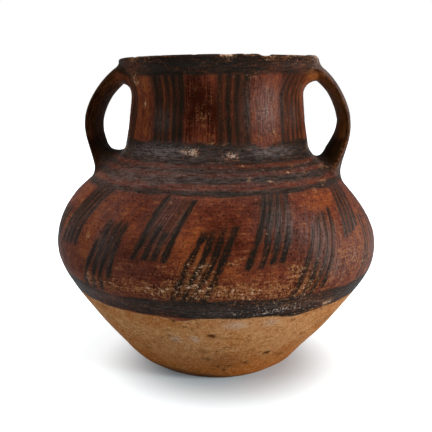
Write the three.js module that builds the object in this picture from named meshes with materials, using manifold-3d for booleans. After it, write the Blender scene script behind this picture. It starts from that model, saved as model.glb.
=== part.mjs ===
// A painted clay jar with two strap handles, hand-built from separate clay parts luted together.
// Millimetres, +Z up. The origin is on the table under the middle of the base, the handles lie along X,
// and the side that is seen first faces -Y.
import * as THREE from "three";
import { mergeVertices } from "three/addons/utils/BufferGeometryUtils.js";
import Module from "manifold-3d";

// Heights, from the table up: each one is added to those before it
const baseHeight = 7;
const lowerWallHeight = 50;
const bellyLowerHeight = 25.5; // foot of the belly up to the widest line
const bellyUpperHeight = 24.5; // widest line up to the shoulder
const shoulderLowerHeight = 19.5; // rounded part of the shoulder
const shoulderUpperHeight = 18.5; // hollow part that turns up into the neck
const neckLowerHeight = 30; // neck foot up to its narrowest line
const neckUpperHeight = 12;
const rimHeight = 11;
const lipRound = 2; // height of the rounded edge of the lip

// Outside radius at the top of each of those heights
const footRadius = 43.5; // edge of the flat that rests on the table
const baseTopRadius = 54.4;
const bellyFootRadius = 94.2;
const widestRadius = 104.2;
const shoulderFootRadius = 96.3;
const shoulderMiddleRadius = 78.1;
const neckFootRadius = 59.6;
const waistRadius = 55.2; // narrowest line of the neck
const rimFootRadius = 57.6;
const lipRadius = 61.6;

// Lean of the outside at the same places: radius gained for each millimetre of height
const footLean = 1.9;
const baseTopLean = 0.98;
const bellyFootLean = 0.71;
const shoulderFootLean = -0.71;
const shoulderMiddleLean = -1.26;
const neckFootLean = -0.18;
const waistLean = -0.06;
const rimFootLean = 0.25;
const lipLean = 0.55;

// Clay
const wallThickness = 5;
const jointGap = 0.3; // left where a handle part meets its neighbours

// Strap handles
const fingerGap = 25; // clear width between the neck's narrowest line and the strap
const strapWidth = 32;
const strapThickness = 7;
const handleTopDrop = 4.5; // top of the lip down to the middle of the strap's upper end
const handleReachRise = 12; // foot of the neck up to where the strap stands out furthest
const handleFootDrop = 21.5; // foot of the neck down to the middle of the strap's lower end
const upperBendPull = 18.5; // how far it rises straight from its furthest line
const lowerBendPull = 11; // how far it falls straight from its furthest line
const lowerEndPull = 16; // how far it rises straight from its lower end

// Where the two handles differ, as made by hand
const rightEndRun = 9.4; // how far the strap runs out from its upper end before it bends
const rightEndFall = 1; // how far it falls over that run
const leftEndRun = 6.5;
const leftEndFall = 3.5;
const leftHandleTurn = 10; // degrees that the left handle sits behind the X axis

// Roots: the clay worked on at both ends of a strap
const upperRootLength = 13;
const upperRootWidth = 40;
const upperRootThickness = 13;
const lowerRootLength = 20;
const lowerRootWidth = 42;
const lowerRootThickness = 21;

// Fineness of the faces
const roundSteps = 64; // steps around the jar
const spanSteps = 3; // steps up each height
const lipSteps = 6;
const strapSteps = 14;
const rootSteps = 5;
const ovalSteps = 16; // steps around a strap

const manifold = await Module();
manifold.setup();

// The outline's stations, from the table up
const stations = [];
function addStation(rise, radius, lean) {
  const below = stations.length ? stations.at(-1).level : 0;
  const station = { level: below + rise, radius, lean };
  stations.push(station);
  return station;
}
const foot = addStation(0, footRadius, footLean);
const baseTop = addStation(baseHeight, baseTopRadius, baseTopLean);
const bellyFoot = addStation(lowerWallHeight, bellyFootRadius, bellyFootLean);
addStation(bellyLowerHeight, widestRadius, 0);
const shoulderFoot = addStation(bellyUpperHeight, shoulderFootRadius, shoulderFootLean);
addStation(shoulderLowerHeight, shoulderMiddleRadius, shoulderMiddleLean);
const neckFoot = addStation(shoulderUpperHeight, neckFootRadius, neckFootLean);
addStation(neckLowerHeight, waistRadius, waistLean);
const rimFoot = addStation(neckUpperHeight, rimFootRadius, rimFootLean);
const lip = addStation(rimHeight, lipRadius, lipLean);
const lipTop = lip.level + lipRound;

// Outside radius and lean at a level: a cubic that keeps the radius and lean of the stations around it
function outsideAt(level) {
  const last = stations.length - 1;
  const index = stations.findIndex((station, i) => i === last || level < station.level);
  const upper = stations[Math.max(index, 1)];
  const lower = stations[stations.indexOf(upper) - 1];
  const rise = upper.level - lower.level;
  const t = (level - lower.level) / rise;
  const radius =
    lower.radius * (1 + 2 * t) * (1 - t) ** 2 +
    upper.radius * t ** 2 * (3 - 2 * t) +
    rise * lower.lean * t * (1 - t) ** 2 -
    rise * upper.lean * t ** 2 * (1 - t);
  const lean =
    ((upper.radius - lower.radius) * 6 * t * (1 - t)) / rise +
    lower.lean * (1 - t) * (1 - 3 * t) -
    upper.lean * t * (2 - 3 * t);
  return { radius, lean };
}

// Radius of the surface that lies a depth inside the outside, or outside it where the depth is negative
function radiusAt(level, depth = 0) {
  const { radius, lean } = outsideAt(level);
  return radius - depth * Math.hypot(1, lean);
}

// Levels from one station up to another, with the same number of steps in each height
function levelsBetween(bottom, top) {
  const used = stations.slice(stations.indexOf(bottom), stations.indexOf(top) + 1);
  const levels = [bottom.level];
  for (let i = 1; i < used.length; i++)
    for (let step = 1; step <= spanSteps; step++)
      levels.push(THREE.MathUtils.lerp(used[i - 1].level, used[i].level, step / spanSteps));
  return levels;
}

// A turned solid from [radius, level] points
function turned(points) {
  const profile = points.map(([radius, level]) => new THREE.Vector2(radius, level));
  return new THREE.LatheGeometry(profile, roundSteps).rotateX(Math.PI / 2);
}

// A ring of the wall from one station up to another, with an optional edge across its top
function wallRing(bottom, top, edge = []) {
  const levels = levelsBetween(bottom, top);
  const outer = levels.map((level) => [radiusAt(level), level]);
  const inner = levels.map((level) => [radiusAt(level, wallThickness), level]).reverse();
  return turned([...outer, ...edge, ...inner, outer[0]]);
}

// The slab that the jar stands on
function baseDisc() {
  const side = levelsBetween(foot, baseTop).map((level) => [radiusAt(level), level]);
  return turned([[0, foot.level], ...side, [0, baseTop.level]]);
}

// The rim with its rounded lip
function rimCoil() {
  const outer = radiusAt(lip.level);
  const inner = radiusAt(lip.level, wallThickness);
  const edge = [];
  for (let step = 1; step < lipSteps; step++) {
    const angle = (Math.PI * step) / lipSteps;
    edge.push([
      (outer + inner) / 2 + ((outer - inner) / 2) * Math.cos(angle),
      lip.level + lipRound * Math.sin(angle),
    ]);
  }
  return wallRing(rimFoot, lip, edge);
}

// The middle line of a strap in its own plane, as radius and level, from the rim down to the shoulder
function handlePath(endRun, endFall) {
  const topLevel = lipTop - handleTopDrop;
  const topEnd = new THREE.Vector2(radiusAt(topLevel, wallThickness / 2), topLevel);
  const reach = new THREE.Vector2(
    waistRadius + fingerGap + strapThickness / 2,
    neckFoot.level + handleReachRise,
  );
  const footLevel = neckFoot.level - handleFootDrop;
  const footEnd = new THREE.Vector2(radiusAt(footLevel, wallThickness / 2), footLevel);
  const path = new THREE.CurvePath();
  path.add(
    new THREE.CubicBezierCurve(
      topEnd,
      new THREE.Vector2(topEnd.x + endRun, topEnd.y - endFall),
      new THREE.Vector2(reach.x, reach.y + upperBendPull),
      reach,
    ),
  );
  path.add(
    new THREE.CubicBezierCurve(
      reach,
      new THREE.Vector2(reach.x, reach.y - lowerBendPull),
      new THREE.Vector2(footEnd.x, footEnd.y + lowerEndPull),
      footEnd,
    ),
  );
  return path;
}

// One oval section of a handle, square to its path at a distance along it and shifted inwards by inset
function ovalSection(path, distance, width, thickness, inset = 0) {
  const middle = path.getPoint(distance / path.getLength());
  const run = path.getTangent(distance / path.getLength());
  const points = [];
  for (let step = 0; step < ovalSteps; step++) {
    const angle = (2 * Math.PI * step) / ovalSteps;
    const out = (thickness / 2) * Math.sin(angle) - inset;
    points.push(
      new THREE.Vector3(
        middle.x - run.y * out,
        (width / 2) * Math.cos(angle),
        middle.y + run.x * out,
      ),
    );
  }
  return points;
}

// A closed solid through a row of sections with the same number of points
function loft(sections) {
  const count = sections[0].length;
  const centres = [sections[0], sections.at(-1)].map((section) =>
    section.reduce((sum, point) => sum.add(point), new THREE.Vector3()).divideScalar(count),
  );
  const points = [...sections.flat(), ...centres];
  const firstCentre = points.length - 2;
  const lastCentre = points.length - 1;
  const lastRow = (sections.length - 1) * count;
  const faces = [];
  for (let i = 0; i < count; i++) {
    const next = (i + 1) % count;
    for (let row = 0; row < lastRow; row += count) {
      faces.push(row + i, row + next, row + count + i);
      faces.push(row + next, row + count + next, row + count + i);
    }
    faces.push(firstCentre, next, i);
    faces.push(lastCentre, lastRow + i, lastRow + next);
  }
  return new THREE.BufferGeometry().setFromPoints(points).setIndex(faces);
}

function strap(path) {
  const start = upperRootLength + jointGap;
  const end = path.getLength() - lowerRootLength - jointGap;
  const sections = [];
  for (let step = 0; step <= strapSteps; step++) {
    const distance = THREE.MathUtils.lerp(start, end, step / strapSteps);
    sections.push(ovalSection(path, distance, strapWidth, strapThickness));
  }
  return loft(sections);
}

// A root: the strap's section where the strap ends, spreading to its full size where the path ends in the wall
function root(path, strapDistance, wallDistance, width, thickness) {
  const sections = [];
  for (let step = 0; step <= rootSteps; step++) {
    const share = step / rootSteps;
    const spread = share ** 2;
    const thicknessHere = THREE.MathUtils.lerp(strapThickness, thickness, spread);
    sections.push(
      ovalSection(
        path,
        THREE.MathUtils.lerp(strapDistance, wallDistance, share),
        THREE.MathUtils.lerp(strapWidth, width, spread),
        thicknessHere,
        (thicknessHere - strapThickness) / 2,
      ),
    );
  }
  if (wallDistance < strapDistance) sections.reverse();
  return cutByWall(loft(sections));
}

function solidOf(geometry) {
  const bare = new THREE.BufferGeometry();
  bare.setAttribute("position", geometry.getAttribute("position"));
  bare.setIndex(geometry.index);
  const merged = mergeVertices(bare);
  return new manifold.Manifold(
    new manifold.Mesh({
      numProp: 3,
      vertProperties: merged.getAttribute("position").array,
      triVerts: new Uint32Array(merged.index.array),
    }),
  );
}

// The whole jar without its hollow, grown by the joint gap and carried on above the lip
function filledJar() {
  const side = levelsBetween(foot, lip).map((level) => [radiusAt(level, -jointGap), level]);
  const clear = lipTop + strapThickness;
  return solidOf(turned([[0, foot.level], ...side, [side.at(-1)[0], clear], [0, clear]]));
}
const wallCutter = filledJar();

// Cuts a handle part back to the outside of the wall, less the joint gap
function cutByWall(geometry) {
  const cut = solidOf(geometry).subtract(wallCutter).getMesh();
  return new THREE.BufferGeometry()
    .setAttribute("position", new THREE.BufferAttribute(cut.vertProperties, 3))
    .setIndex(new THREE.BufferAttribute(cut.triVerts, 1));
}

const bareClay = new THREE.MeshStandardMaterial({ color: 0xa87245, roughness: 0.85, metalness: 0 });
const redSlip = new THREE.MeshStandardMaterial({ color: 0x6b3320, roughness: 0.5, metalness: 0 });
const darkSlip = new THREE.MeshStandardMaterial({ color: 0x33241d, roughness: 0.5, metalness: 0 });

function piece(name, geometry, material) {
  geometry.computeVertexNormals();
  const mesh = new THREE.Mesh(geometry, material);
  mesh.name = name;
  return mesh;
}

// A strap and its two roots, in a group turned to where the handle stands
function handle(side, degrees, endRun, endFall) {
  const path = handlePath(endRun, endFall);
  const length = path.getLength();
  const upper = root(path, upperRootLength, 0, upperRootWidth, upperRootThickness);
  const lower = root(path, length - lowerRootLength, length, lowerRootWidth, lowerRootThickness);
  const group = new THREE.Group();
  group.add(
    piece(`${side}_handle_strap`, strap(path), darkSlip),
    piece(`${side}_handle_upper_root`, upper, darkSlip),
    piece(`${side}_handle_lower_root`, lower, darkSlip),
  );
  group.rotation.z = THREE.MathUtils.degToRad(degrees);
  return group;
}

const jar = new THREE.Group();
jar.add(
  piece("base_disc", baseDisc(), bareClay),
  piece("lower_wall", wallRing(baseTop, bellyFoot), bareClay),
  piece("belly_wall", wallRing(bellyFoot, shoulderFoot), redSlip),
  piece("shoulder_wall", wallRing(shoulderFoot, neckFoot), redSlip),
  piece("neck_collar", wallRing(neckFoot, rimFoot), redSlip),
  piece("rim_coil", rimCoil(), darkSlip),
  handle("right", 0, rightEndRun, rightEndFall),
  handle("left", 180 - leftHandleTurn, leftEndRun, leftEndFall),
);

export default jar;
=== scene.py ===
import math

import bpy
import numpy as np
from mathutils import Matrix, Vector
from mathutils.bvhtree import BVHTree


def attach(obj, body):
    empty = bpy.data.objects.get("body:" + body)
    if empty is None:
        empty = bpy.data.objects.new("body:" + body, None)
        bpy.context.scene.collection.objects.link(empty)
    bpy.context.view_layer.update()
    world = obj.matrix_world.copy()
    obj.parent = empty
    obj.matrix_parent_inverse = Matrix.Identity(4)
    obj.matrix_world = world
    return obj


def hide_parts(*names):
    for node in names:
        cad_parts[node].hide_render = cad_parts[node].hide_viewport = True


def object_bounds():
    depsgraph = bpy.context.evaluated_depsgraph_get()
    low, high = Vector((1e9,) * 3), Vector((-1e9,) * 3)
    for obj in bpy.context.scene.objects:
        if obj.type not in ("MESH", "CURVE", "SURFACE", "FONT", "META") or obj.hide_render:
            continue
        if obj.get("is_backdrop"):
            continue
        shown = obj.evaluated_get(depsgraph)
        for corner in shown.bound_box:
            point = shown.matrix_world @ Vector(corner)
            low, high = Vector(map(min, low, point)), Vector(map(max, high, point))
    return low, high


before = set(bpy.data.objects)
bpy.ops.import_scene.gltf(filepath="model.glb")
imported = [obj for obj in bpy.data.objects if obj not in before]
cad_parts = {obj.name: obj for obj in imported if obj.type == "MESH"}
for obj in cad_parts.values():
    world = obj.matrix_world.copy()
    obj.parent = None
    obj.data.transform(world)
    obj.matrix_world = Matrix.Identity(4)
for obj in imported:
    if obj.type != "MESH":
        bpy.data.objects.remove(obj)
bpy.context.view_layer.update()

# A hand-built, painted clay jar with two strap handles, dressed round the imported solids.
# Lengths in the dictionaries are millimetres and angles are degrees. A turn is measured round the jar
# from the side seen first (-Y) towards the right (+X), and a level is a height above the table.

scene = bpy.context.scene
scene.view_settings.view_transform = "Standard"
toMetres = 0.001
fullTurn = 2 * math.pi

# The jar's outline, as the solids have it
jarShape = {
    "levels": [0, 7, 57, 82.5, 107, 126.5, 145, 175, 187, 198],
    "radii": [43.5, 54.4, 94.2, 104.2, 96.3, 78.1, 59.6, 55.2, 57.6, 61.6],
    "leans": [1.9, 0.98, 0.71, 0, -0.71, -1.26, -0.18, -0.06, 0.25, 0.55],
    "wall": 5,
    "lipRound": 2,
    "lipFullness": 0.8,  # under 1 gives the lip a flatter top
    "crownSpan": 6,  # levels above the last station that stand for the way over the lip
    "neckFoot": 6,  # numbers of two stations that the handles are measured from
    "waist": 7,
    "floorWaves": (0.35, 9, 0.1, 3),  # on the floor inside: rings and lobes, size and rate of each
    "columns": 720,
    "outsideStep": 0.9,
    "insideStep": 2.4,
    "crownRows": 14,
    "floorRows": 24,
}
levels = np.array(jarShape["levels"], float)
radii = np.array(jarShape["radii"], float)
leans = np.array(jarShape["leans"], float)
lipLevel = levels[-1]

# What hands, paddle and scraper left: (waves round the jar, wave height, size), from broad to fine
handwork = {
    "seed": 23,
    "broad": {"around": (2, 5), "tall": (110, 280), "size": 0.34, "count": 7},
    "paddled": {"around": (7, 17), "tall": (26, 70), "size": 0.16, "count": 26},
    "scraped": {"around": (26, 70), "tall": (7, 18), "size": 0.045, "count": 40},
    # edges of painted bands, as shares of how uneven each band is
    "edges": {"around": (2, 26), "tall": (40, 90), "size": 1, "count": 24},
    "rimLift": 0.75,  # the lip stands this much higher in front than on the left
    "rimTilt": 0.9,  # and runs up this much towards the right handle
    "rimLiftFrom": 160,
    # the lip is drawn out and up over each handle: turn, half turn, out, up
    "rimSwell": [(-88, 13, 1.4, 0), (88, 13, 2, 0.45)],
    "rimSwellSpan": (189, 197),
    "chipReach": 5,
    # how far the jar strays sideways from its axis, to the right where more than 0: level, distance
    "sway": [
        (0, 0), (22, 0.1), (48, 0.75), (64, 1.1), (72, 0.9), (82, 0.3), (90, 0.1), (98, -0.5), (108, -1.3),
        (116, -1.4), (126, -0.7), (136, 0), (150, 0.4), (186, 0.2), (200, 0),
    ],
    # how much wider than the outline it is all round: level, distance
    "girth": [
        (0, 0), (8, -0.3), (17, -0.9), (27, 0.1), (34, 0.5), (52, 0.4), (62, 0), (76, 0.3), (84, 0.1), (96, -0.3),
        (110, 0),
    ],
    # hollows and bulges: turn, level, half turn, half height, distance out
    "bulges": [(-82, 106, 34, 26, 0.65), (88, 165, 26, 18, 0.9), (-74, 12, 30, 11, 1.7)],
    "fingerRings": 0.35,
    "fingerRingHeight": 8.5,
    "fingerRingSpan": (7, 20, 176, 192),  # they start between the first two levels and end between the others
    "fingerRingSway": ((2.2, 1, 0), (1.1, 2, 1)),  # how they rise and fall round the jar: size, times round, start
}

# Chips in the lip: turn, half width, depth
lipChips = [
    (-55.5, 2.6, 0.75), (-47, 1.1, 0.3), (-33, 0.8, 0.22), (-12, 1.4, 0.2), (6, 4.5, 0.3), (17, 2.2, 0.25),
    (28.5, 4.4, 1.25), (50, 25, 0.55), (66, 2, 0.9), (112, 3, 0.7), (139, 1.3, 0.35), (171, 5, 0.55),
    (-158, 1.5, 0.4), (-128, 3.4, 0.8),
]

# Pits and knocks in the bare foot of the jar: turn, level, half width, half height, depth
clayPits = [
    (-2.5, 44.2, 1.5, 0.8, 0.9), (-1.8, 43.1, 0.7, 0.7, 0.6), (24.6, 25.7, 1.8, 1.1, 0.9),
    (-21.5, 57.2, 1.6, 0.5, 0.45), (-16.5, 53.5, 0.7, 0.5, 0.4), (0.4, 31, 0.7, 0.6, 0.45),
    (19, 17, 1.6, 0.8, 0.35), (43, 38, 2.4, 0.7, 0.3), (96, 33, 1.4, 0.9, 0.7), (150, 47, 1.1, 0.8, 0.6),
    (-140, 21, 1.8, 0.8, 0.6), (-95, 41, 0.9, 0.8, 0.5), (-171, 39, 2.1, 0.6, 0.5),
]


def outline(level):
    # outside radius and lean at a level: a cubic that keeps the stations' radius and lean
    below = np.clip(np.searchsorted(levels, level, side="right") - 1, 0, len(levels) - 2)
    rise = levels[below + 1] - levels[below]
    t = (level - levels[below]) / rise
    radius = (
        radii[below] * (1 + 2 * t) * (1 - t) ** 2
        + radii[below + 1] * t ** 2 * (3 - 2 * t)
        + rise * leans[below] * t * (1 - t) ** 2
        - rise * leans[below + 1] * t ** 2 * (1 - t)
    )
    lean = (
        (radii[below + 1] - radii[below]) * 6 * t * (1 - t) / rise
        + leans[below] * (1 - t) * (1 - 3 * t)
        - leans[below + 1] * t * (2 - 3 * t)
    )
    return radius, lean


def wavesOf(kind, draw):
    # one set of waves that close round the jar
    count = kind["count"]
    around = draw.integers(kind["around"][0], kind["around"][1] + 1, count)
    tall = draw.uniform(*kind["tall"], count) * draw.choice([-1, 1], count)
    size = kind["size"] * draw.uniform(0.5, 1, count) / math.sqrt(count / 2)
    return list(zip(around, fullTurn / tall, size, draw.uniform(0, fullTurn, count)))


waveDraw = np.random.default_rng(handwork["seed"])
outsideWaves, insideWaves = [
    [wave for kind in ("broad", "paddled", "scraped") for wave in wavesOf(handwork[kind], waveDraw)]
    for _ in range(2)
]
edgeWaves = wavesOf(handwork["edges"], waveDraw)


def waveHeight(waves, turn, level):
    height = np.zeros(np.broadcast(turn, level).shape)
    for around, perLevel, size, start in waves:
        height = height + size * np.cos(around * turn + perLevel * level + start)
    return height


def smooth(value, low, high):
    t = np.clip((value - low) / (high - low), 0, 1)
    return t * t * (3 - 2 * t)


def window(value, start, full, fading, end):
    # 0 up to start, 1 from full to fading, and 0 again from end
    return smooth(value, start, full) * (1 - smooth(value, fading, end))


def turnGap(turn, degrees):
    # signed angle from a direction, in radians, the short way round
    return (turn - np.radians(degrees) + math.pi) % fullTurn - math.pi


def bell(turn, at, half, power=2):
    # 1 in a direction and less to both sides of it
    return np.exp(-(turnGap(turn, at) / math.radians(half)) ** power)


def patchSum(patches, turn, level):
    # soft oval patches, added up where they overlap: turn, level, half turn, half height, strength
    total = np.zeros(np.broadcast(turn, level).shape)
    for at, height, halfTurn, halfLevel, strength in patches:
        across = turnGap(turn, at) / math.radians(halfTurn)
        total = total + strength * np.exp(-across ** 2 - ((level - height) / halfLevel) ** 2)
    return total


def dent(turn, level):
    # depth of the pits and knocks, each with a short, steep side
    depth = np.zeros(np.broadcast(turn, level).shape)
    for at, height, halfWidth, halfHeight, deep in clayPits:
        across = turnGap(turn, at) * outline(np.array(float(height)))[0] / halfWidth
        depth = depth + deep * np.exp(-(across ** 2 + ((level - height) / halfHeight) ** 2) ** 1.5)
    return depth


def lifted(turn, level):
    # real height of a level: the lip was never quite level, and is chipped
    lift = handwork["rimLift"] + handwork["rimTilt"] * np.sin(turn)
    for at, half, _, up in handwork["rimSwell"]:
        lift = lift + up * bell(turn, at, half)
    drop = np.zeros(np.shape(turn))
    for at, half, deep in lipChips:
        drop = np.maximum(drop, deep * bell(turn, at, half, 4))
    lift = lift * smooth(level, handwork["rimLiftFrom"], lipLevel)
    return level + lift - drop * smooth(level, lipLevel - handwork["chipReach"], lipLevel)


def placed(turn, radius, height):
    stray = np.interp(height, *zip(*handwork["sway"]))
    return np.stack(np.broadcast_arrays(radius * np.sin(turn) + stray, -radius * np.cos(turn), height), -1)


def outsideRadius(turn, level):
    radius = outline(level)[0] + waveHeight(outsideWaves, turn, level) - dent(turn, level)
    radius = radius + np.interp(level, *zip(*handwork["girth"])) + patchSum(handwork["bulges"], turn, level)
    for at, half, out, _ in handwork["rimSwell"]:
        radius = radius + out * bell(turn, at, half) * smooth(level, *handwork["rimSwellSpan"])
    return radius


def insideRadius(turn, level):
    radius, lean = outline(level)
    sway = sum(size * np.sin(rate * turn + start) for size, rate, start in handwork["fingerRingSway"])
    rings = handwork["fingerRings"] * np.cos(fullTurn * level / handwork["fingerRingHeight"] + sway)
    rings = rings * window(level, *handwork["fingerRingSpan"])
    return radius - jarShape["wall"] * np.hypot(1, lean) + rings + waveHeight(insideWaves, turn, level)


def outsidePoint(turn, level):
    return placed(turn, outsideRadius(turn, level), lifted(turn, level))


def crownPoint(turn, angle):
    # over the lip, from the outside (0) to the inside (pi)
    edge = np.full(np.shape(turn), lipLevel)
    outer, inner = outsideRadius(turn, edge), insideRadius(turn, edge)
    fullness = jarShape["lipFullness"]
    along = np.sign(np.cos(angle)) * np.abs(np.cos(angle)) ** fullness
    radius = (outer + inner) / 2 + (outer - inner) / 2 * along
    return placed(turn, radius, lifted(turn, edge) + jarShape["lipRound"] * np.sin(angle) ** fullness)


def insidePoint(turn, level):
    return placed(turn, insideRadius(turn, level), lifted(turn, level))


pieceLevels = [0, 7, 57, 107, 145, 187, 198]  # where one clay part ends and the next begins
floorLevel = pieceLevels[1]
columns = jarShape["columns"]
turns = np.linspace(-math.pi, math.pi, columns, endpoint=False)


def wallLevels(step):
    # levels up the whole wall, evenly spaced along it from one joint to the next
    found = [np.zeros(1)]
    for low, high in zip(pieceLevels, pieceLevels[1:]):
        fine = np.linspace(low, high, 400)
        along = np.concatenate([[0], np.cumsum(np.diff(fine) * np.hypot(1, outline(fine)[1])[1:])])
        count = max(2, math.ceil(along[-1] / step))
        found.append(np.interp(np.linspace(0, along[-1], count + 1), along, fine)[1:])
    return np.concatenate(found)


def ringOf(point, value):
    return point(turns, np.full(columns, float(value)))


# One row of points after another, as (kind, level, points): under the foot, up the outside, over the lip,
# down the inside and over the floor
insideLevels = wallLevels(jarShape["insideStep"])[::-1]
crownAngles = np.linspace(0, math.pi, jarShape["crownRows"] + 2)[1:-1]
footShares = np.linspace(0, 1, jarShape["floorRows"] + 2)[1:-1]
footEdge = ringOf(outsidePoint, 0)
floorEdge = ringOf(insidePoint, floorLevel)
surface = [("foot", 0, footEdge * [share, share, 1]) for share in footShares]
surface += [("outside", level, ringOf(outsidePoint, level)) for level in wallLevels(jarShape["outsideStep"])]
for angle in crownAngles:
    surface.append(("crown", lipLevel + jarShape["crownSpan"] * angle / math.pi, ringOf(crownPoint, angle)))
surface += [("inside", level, ringOf(insidePoint, level)) for level in insideLevels if level >= floorLevel]
ringSize, ringRate, lobeSize, lobes = jarShape["floorWaves"]
for share in footShares[::-1]:
    row = floorEdge * [share, share, 1]
    row[:, 2] += ringSize * np.cos(ringRate * share) * (1 - share) + lobeSize * np.cos(lobes * turns) * share
    surface.append(("floor", floorLevel, row))
rowKinds, rowLevels, jarRows = [np.array(part) for part in zip(*surface)]
print("jar surface:", jarRows.shape)


def rowsOf(kind, low=0, high=math.inf):
    tiny = 1e-6
    return np.flatnonzero((rowKinds == kind) & (rowLevels >= low - tiny) & (rowLevels <= high + tiny)).tolist()


def gridNormals(points):
    # normals of a grid of points that closes on itself from column to column
    alongColumns = np.roll(points, -1, 1) - np.roll(points, 1, 1)
    alongRows = np.empty_like(points)
    alongRows[1:-1] = points[2:] - points[:-2]
    alongRows[0] = points[1] - points[0]
    alongRows[-1] = points[-1] - points[-2]
    normals = np.cross(alongColumns, alongRows)
    return normals / np.maximum(np.linalg.norm(normals, axis=-1, keepdims=True), 1e-9)


jarNormals = gridNormals(jarRows)
jarNormals[: len(footShares) - 1] = [0, 0, -1]

# The painted pattern

paintwork = {
    # bands and lines round the jar: low edge, high edge, how uneven the edges are
    "bands": [
        (57.7, 70, 0.3), (123.8, 126.2, 0.28), (129.4, 132.5, 0.35), (134.7, 136.7, 0.3), (138.8, 150.1, 0.3),
        (188.9, 215, 0.35),
    ],
    # where an edge runs lower: number of the band, its lower (0) or upper (1) edge, turn, half turn, how much
    "bandDips": [(0, 1, -35, 13, 2.4), (4, 1, 28, 5.5, 3.2), (0, 0, 28.5, 7, 1.9)],
    # bundles of slanted strokes, hung from the lowest shoulder line or standing on the black band: the two
    # levels that they slant between, their turns at the lower and at the upper one, where each one starts and
    # stops, their width, and the strength of the thin wash between them and the level that it starts from
    "bundles": [
        ((91, 123.5), (-63.5, -60, -57, -53.5), (-57.5, -54, -50.5, -47), (90.5, 91, 91.5, 92),
         (124, 124, 124, 124), 3, 0.95, 90),
        ((91, 123.5), (-26.4, -22, -19, -16.2), (-17.7, -14.6, -11.6, -7), (91, 91.5, 91.5, 91),
         (124, 110, 106, 122), 3.1, 0.8, 96),
        ((91, 123.5), (10.2, 13.6, 16.8, 20.2), (19.6, 22.8, 25.8, 29.4), (87.6, 88.2, 90, 90.4),
         (124, 124, 124, 124), 3.1, 0.75, 101),
        ((99, 123.5), (48, 51, 53.8, 56.6), (58.5, 62, 65.5, 69), (98, 99, 100, 101.5),
         (124, 124, 124, 124), 2.4, 0.5, 101),
        ((69, 110), (-48.2, -44, -40.6, -38), (-38.4, -36.4, -33, -29.6), (69, 69, 69, 77),
         (98, 109.5, 110, 108.5), 2.9, 1, 78),
        ((69, 109), (-14.6, -10.8, -8, -5), (-2.2, 0.4, 3.6, 7.2), (69, 69, 69, 69),
         (107, 107.6, 108.6, 109.6), 3.3, 0, 80),
        ((69, 111), (22.6, 26.4, 30, 33), (36, 39.2, 42, 45.2), (69, 69, 69, 73),
         (107, 110.5, 112.5, 114), 2.4, 0.55, 76),
        ((69, 108), (53.2, 55.8, 62, 66), (64.4, 67.2, 73, 77), (69, 69, 69, 69),
         (106, 106, 107, 108), 1.5, 0.25, 74),
    ],
    # the same, carried on round the back: levels, and the middle turn at the foot of each bundle
    "atBack": [((92, 123.5), (93, 132, 172, -149, -107)), ((69, 109), (99, 138, 177, -144, -112, -80))],
    "backFacts": {
        "seed": 5, "spacing": 3.4, "lean": 8.5, "width": 2.8, "wash": 0.45, "washAbove": 9,
        "stray": (0.3, 1, 1.5, 1),  # how much the turns, the lean and the lower and upper ends vary
    },
    # upright lines on the neck: turn at the foot, turn at the top, width; some fan out under the lip
    "neckLines": [
        (-70.5, -71, 2.4), (-67, -67, 2.2), (-63.5, -63, 1.6), (-39.4, -38.6, 2.6), (-36, -35.4, 2),
        (-30.9, -30.6, 2.2), (-25.8, -26, 2.3), (-21.6, -21.4, 2.6), (1.8, 2, 1.9), (6.9, 7, 2.6),
        (11.7, 12, 2.4), (17.6, 17.9, 2.6), (42.6, 44.4, 2.3), (47.4, 49.6, 2.3), (52.8, 55.6, 2.1),
        (58.4, 61.8, 2.1), (63.5, 67, 1.8), (86, 88, 2.2), (91, 92, 2.3), (96, 96, 2.3), (125, 125, 2.3),
        (130, 130, 2.4), (135, 134, 2.3), (166, 166, 2.3), (171, 171, 2.6), (176, 177, 2.3), (-153, -152, 2.3),
        (-148, -147, 2.3), (-143, -143, 2.4), (-112, -112, 2.3), (-107, -108, 2.3), (-102, -102, 2.3),
    ],
    "neckLineLevels": (147, 191),
    "fan": {"from": 40, "to": 70, "startLevel": 176, "endLevel": 197, "turn": 6},
    # wash between them: turns from and to, strength
    "neckWashes": [
        (-43, -34.6, 0.9), (-32.8, -29, 0.9), (-27.4, -20, 1), (0.5, 9, 0.6), (10, 20, 1), (41.5, 49.5, 0.65),
        (51, 60, 0.65), (61, 69, 0.5), (-72, -62, 0.4), (83, 99, 0.8), (-99, -82, 0.8), (124, 136, 0.4),
        (165, 178, 0.4), (-154, -142, 0.4),
    ],
    "neckWashLevels": (138, 192),
    "neckWashFrom": 140,
    "washEnds": (8, 3),  # levels over which a wash fades in, and out
    "washSides": (-1.2, 0.6),  # and its sides, by distance inside them
    "strokeSeed": 6,
    "strokeStray": (0.35, 7),  # how far a stroke strays in degrees, and how slowly
    "strokeSwell": ((0.14, 0.45, 1), (0.1, 1.1, 2)),  # how its width changes: share, rate, shift
    "bandApart": 50,  # keeps the unevenness of one band from that of the next
    "farthest": 4,  # distances beyond this don't matter to the finish
}


def backBundles():
    # bundles like those in front, for the side that the maker's hand came round to last
    facts = paintwork["backFacts"]
    draw = np.random.default_rng(facts["seed"])
    turnStray, leanStray, footStray, topStray = facts["stray"]
    found = []
    for (low, high), middles in paintwork["atBack"]:
        for middle in middles:
            places = [middle + place * facts["spacing"] for place in (-1.5, -0.5, 0.5, 1.5)]
            below = [place + draw.uniform(-turnStray, turnStray) for place in places]
            above = [turn + facts["lean"] + draw.uniform(-leanStray, leanStray) for turn in below]
            feet = low + draw.uniform(-footStray, footStray, len(below))
            tops = high + draw.uniform(-topStray, topStray, len(below))
            washFrom = low + facts["washAbove"]
            found.append(((low, high), below, above, feet, tops, facts["width"], facts["wash"], washFrom))
    return found


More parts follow.
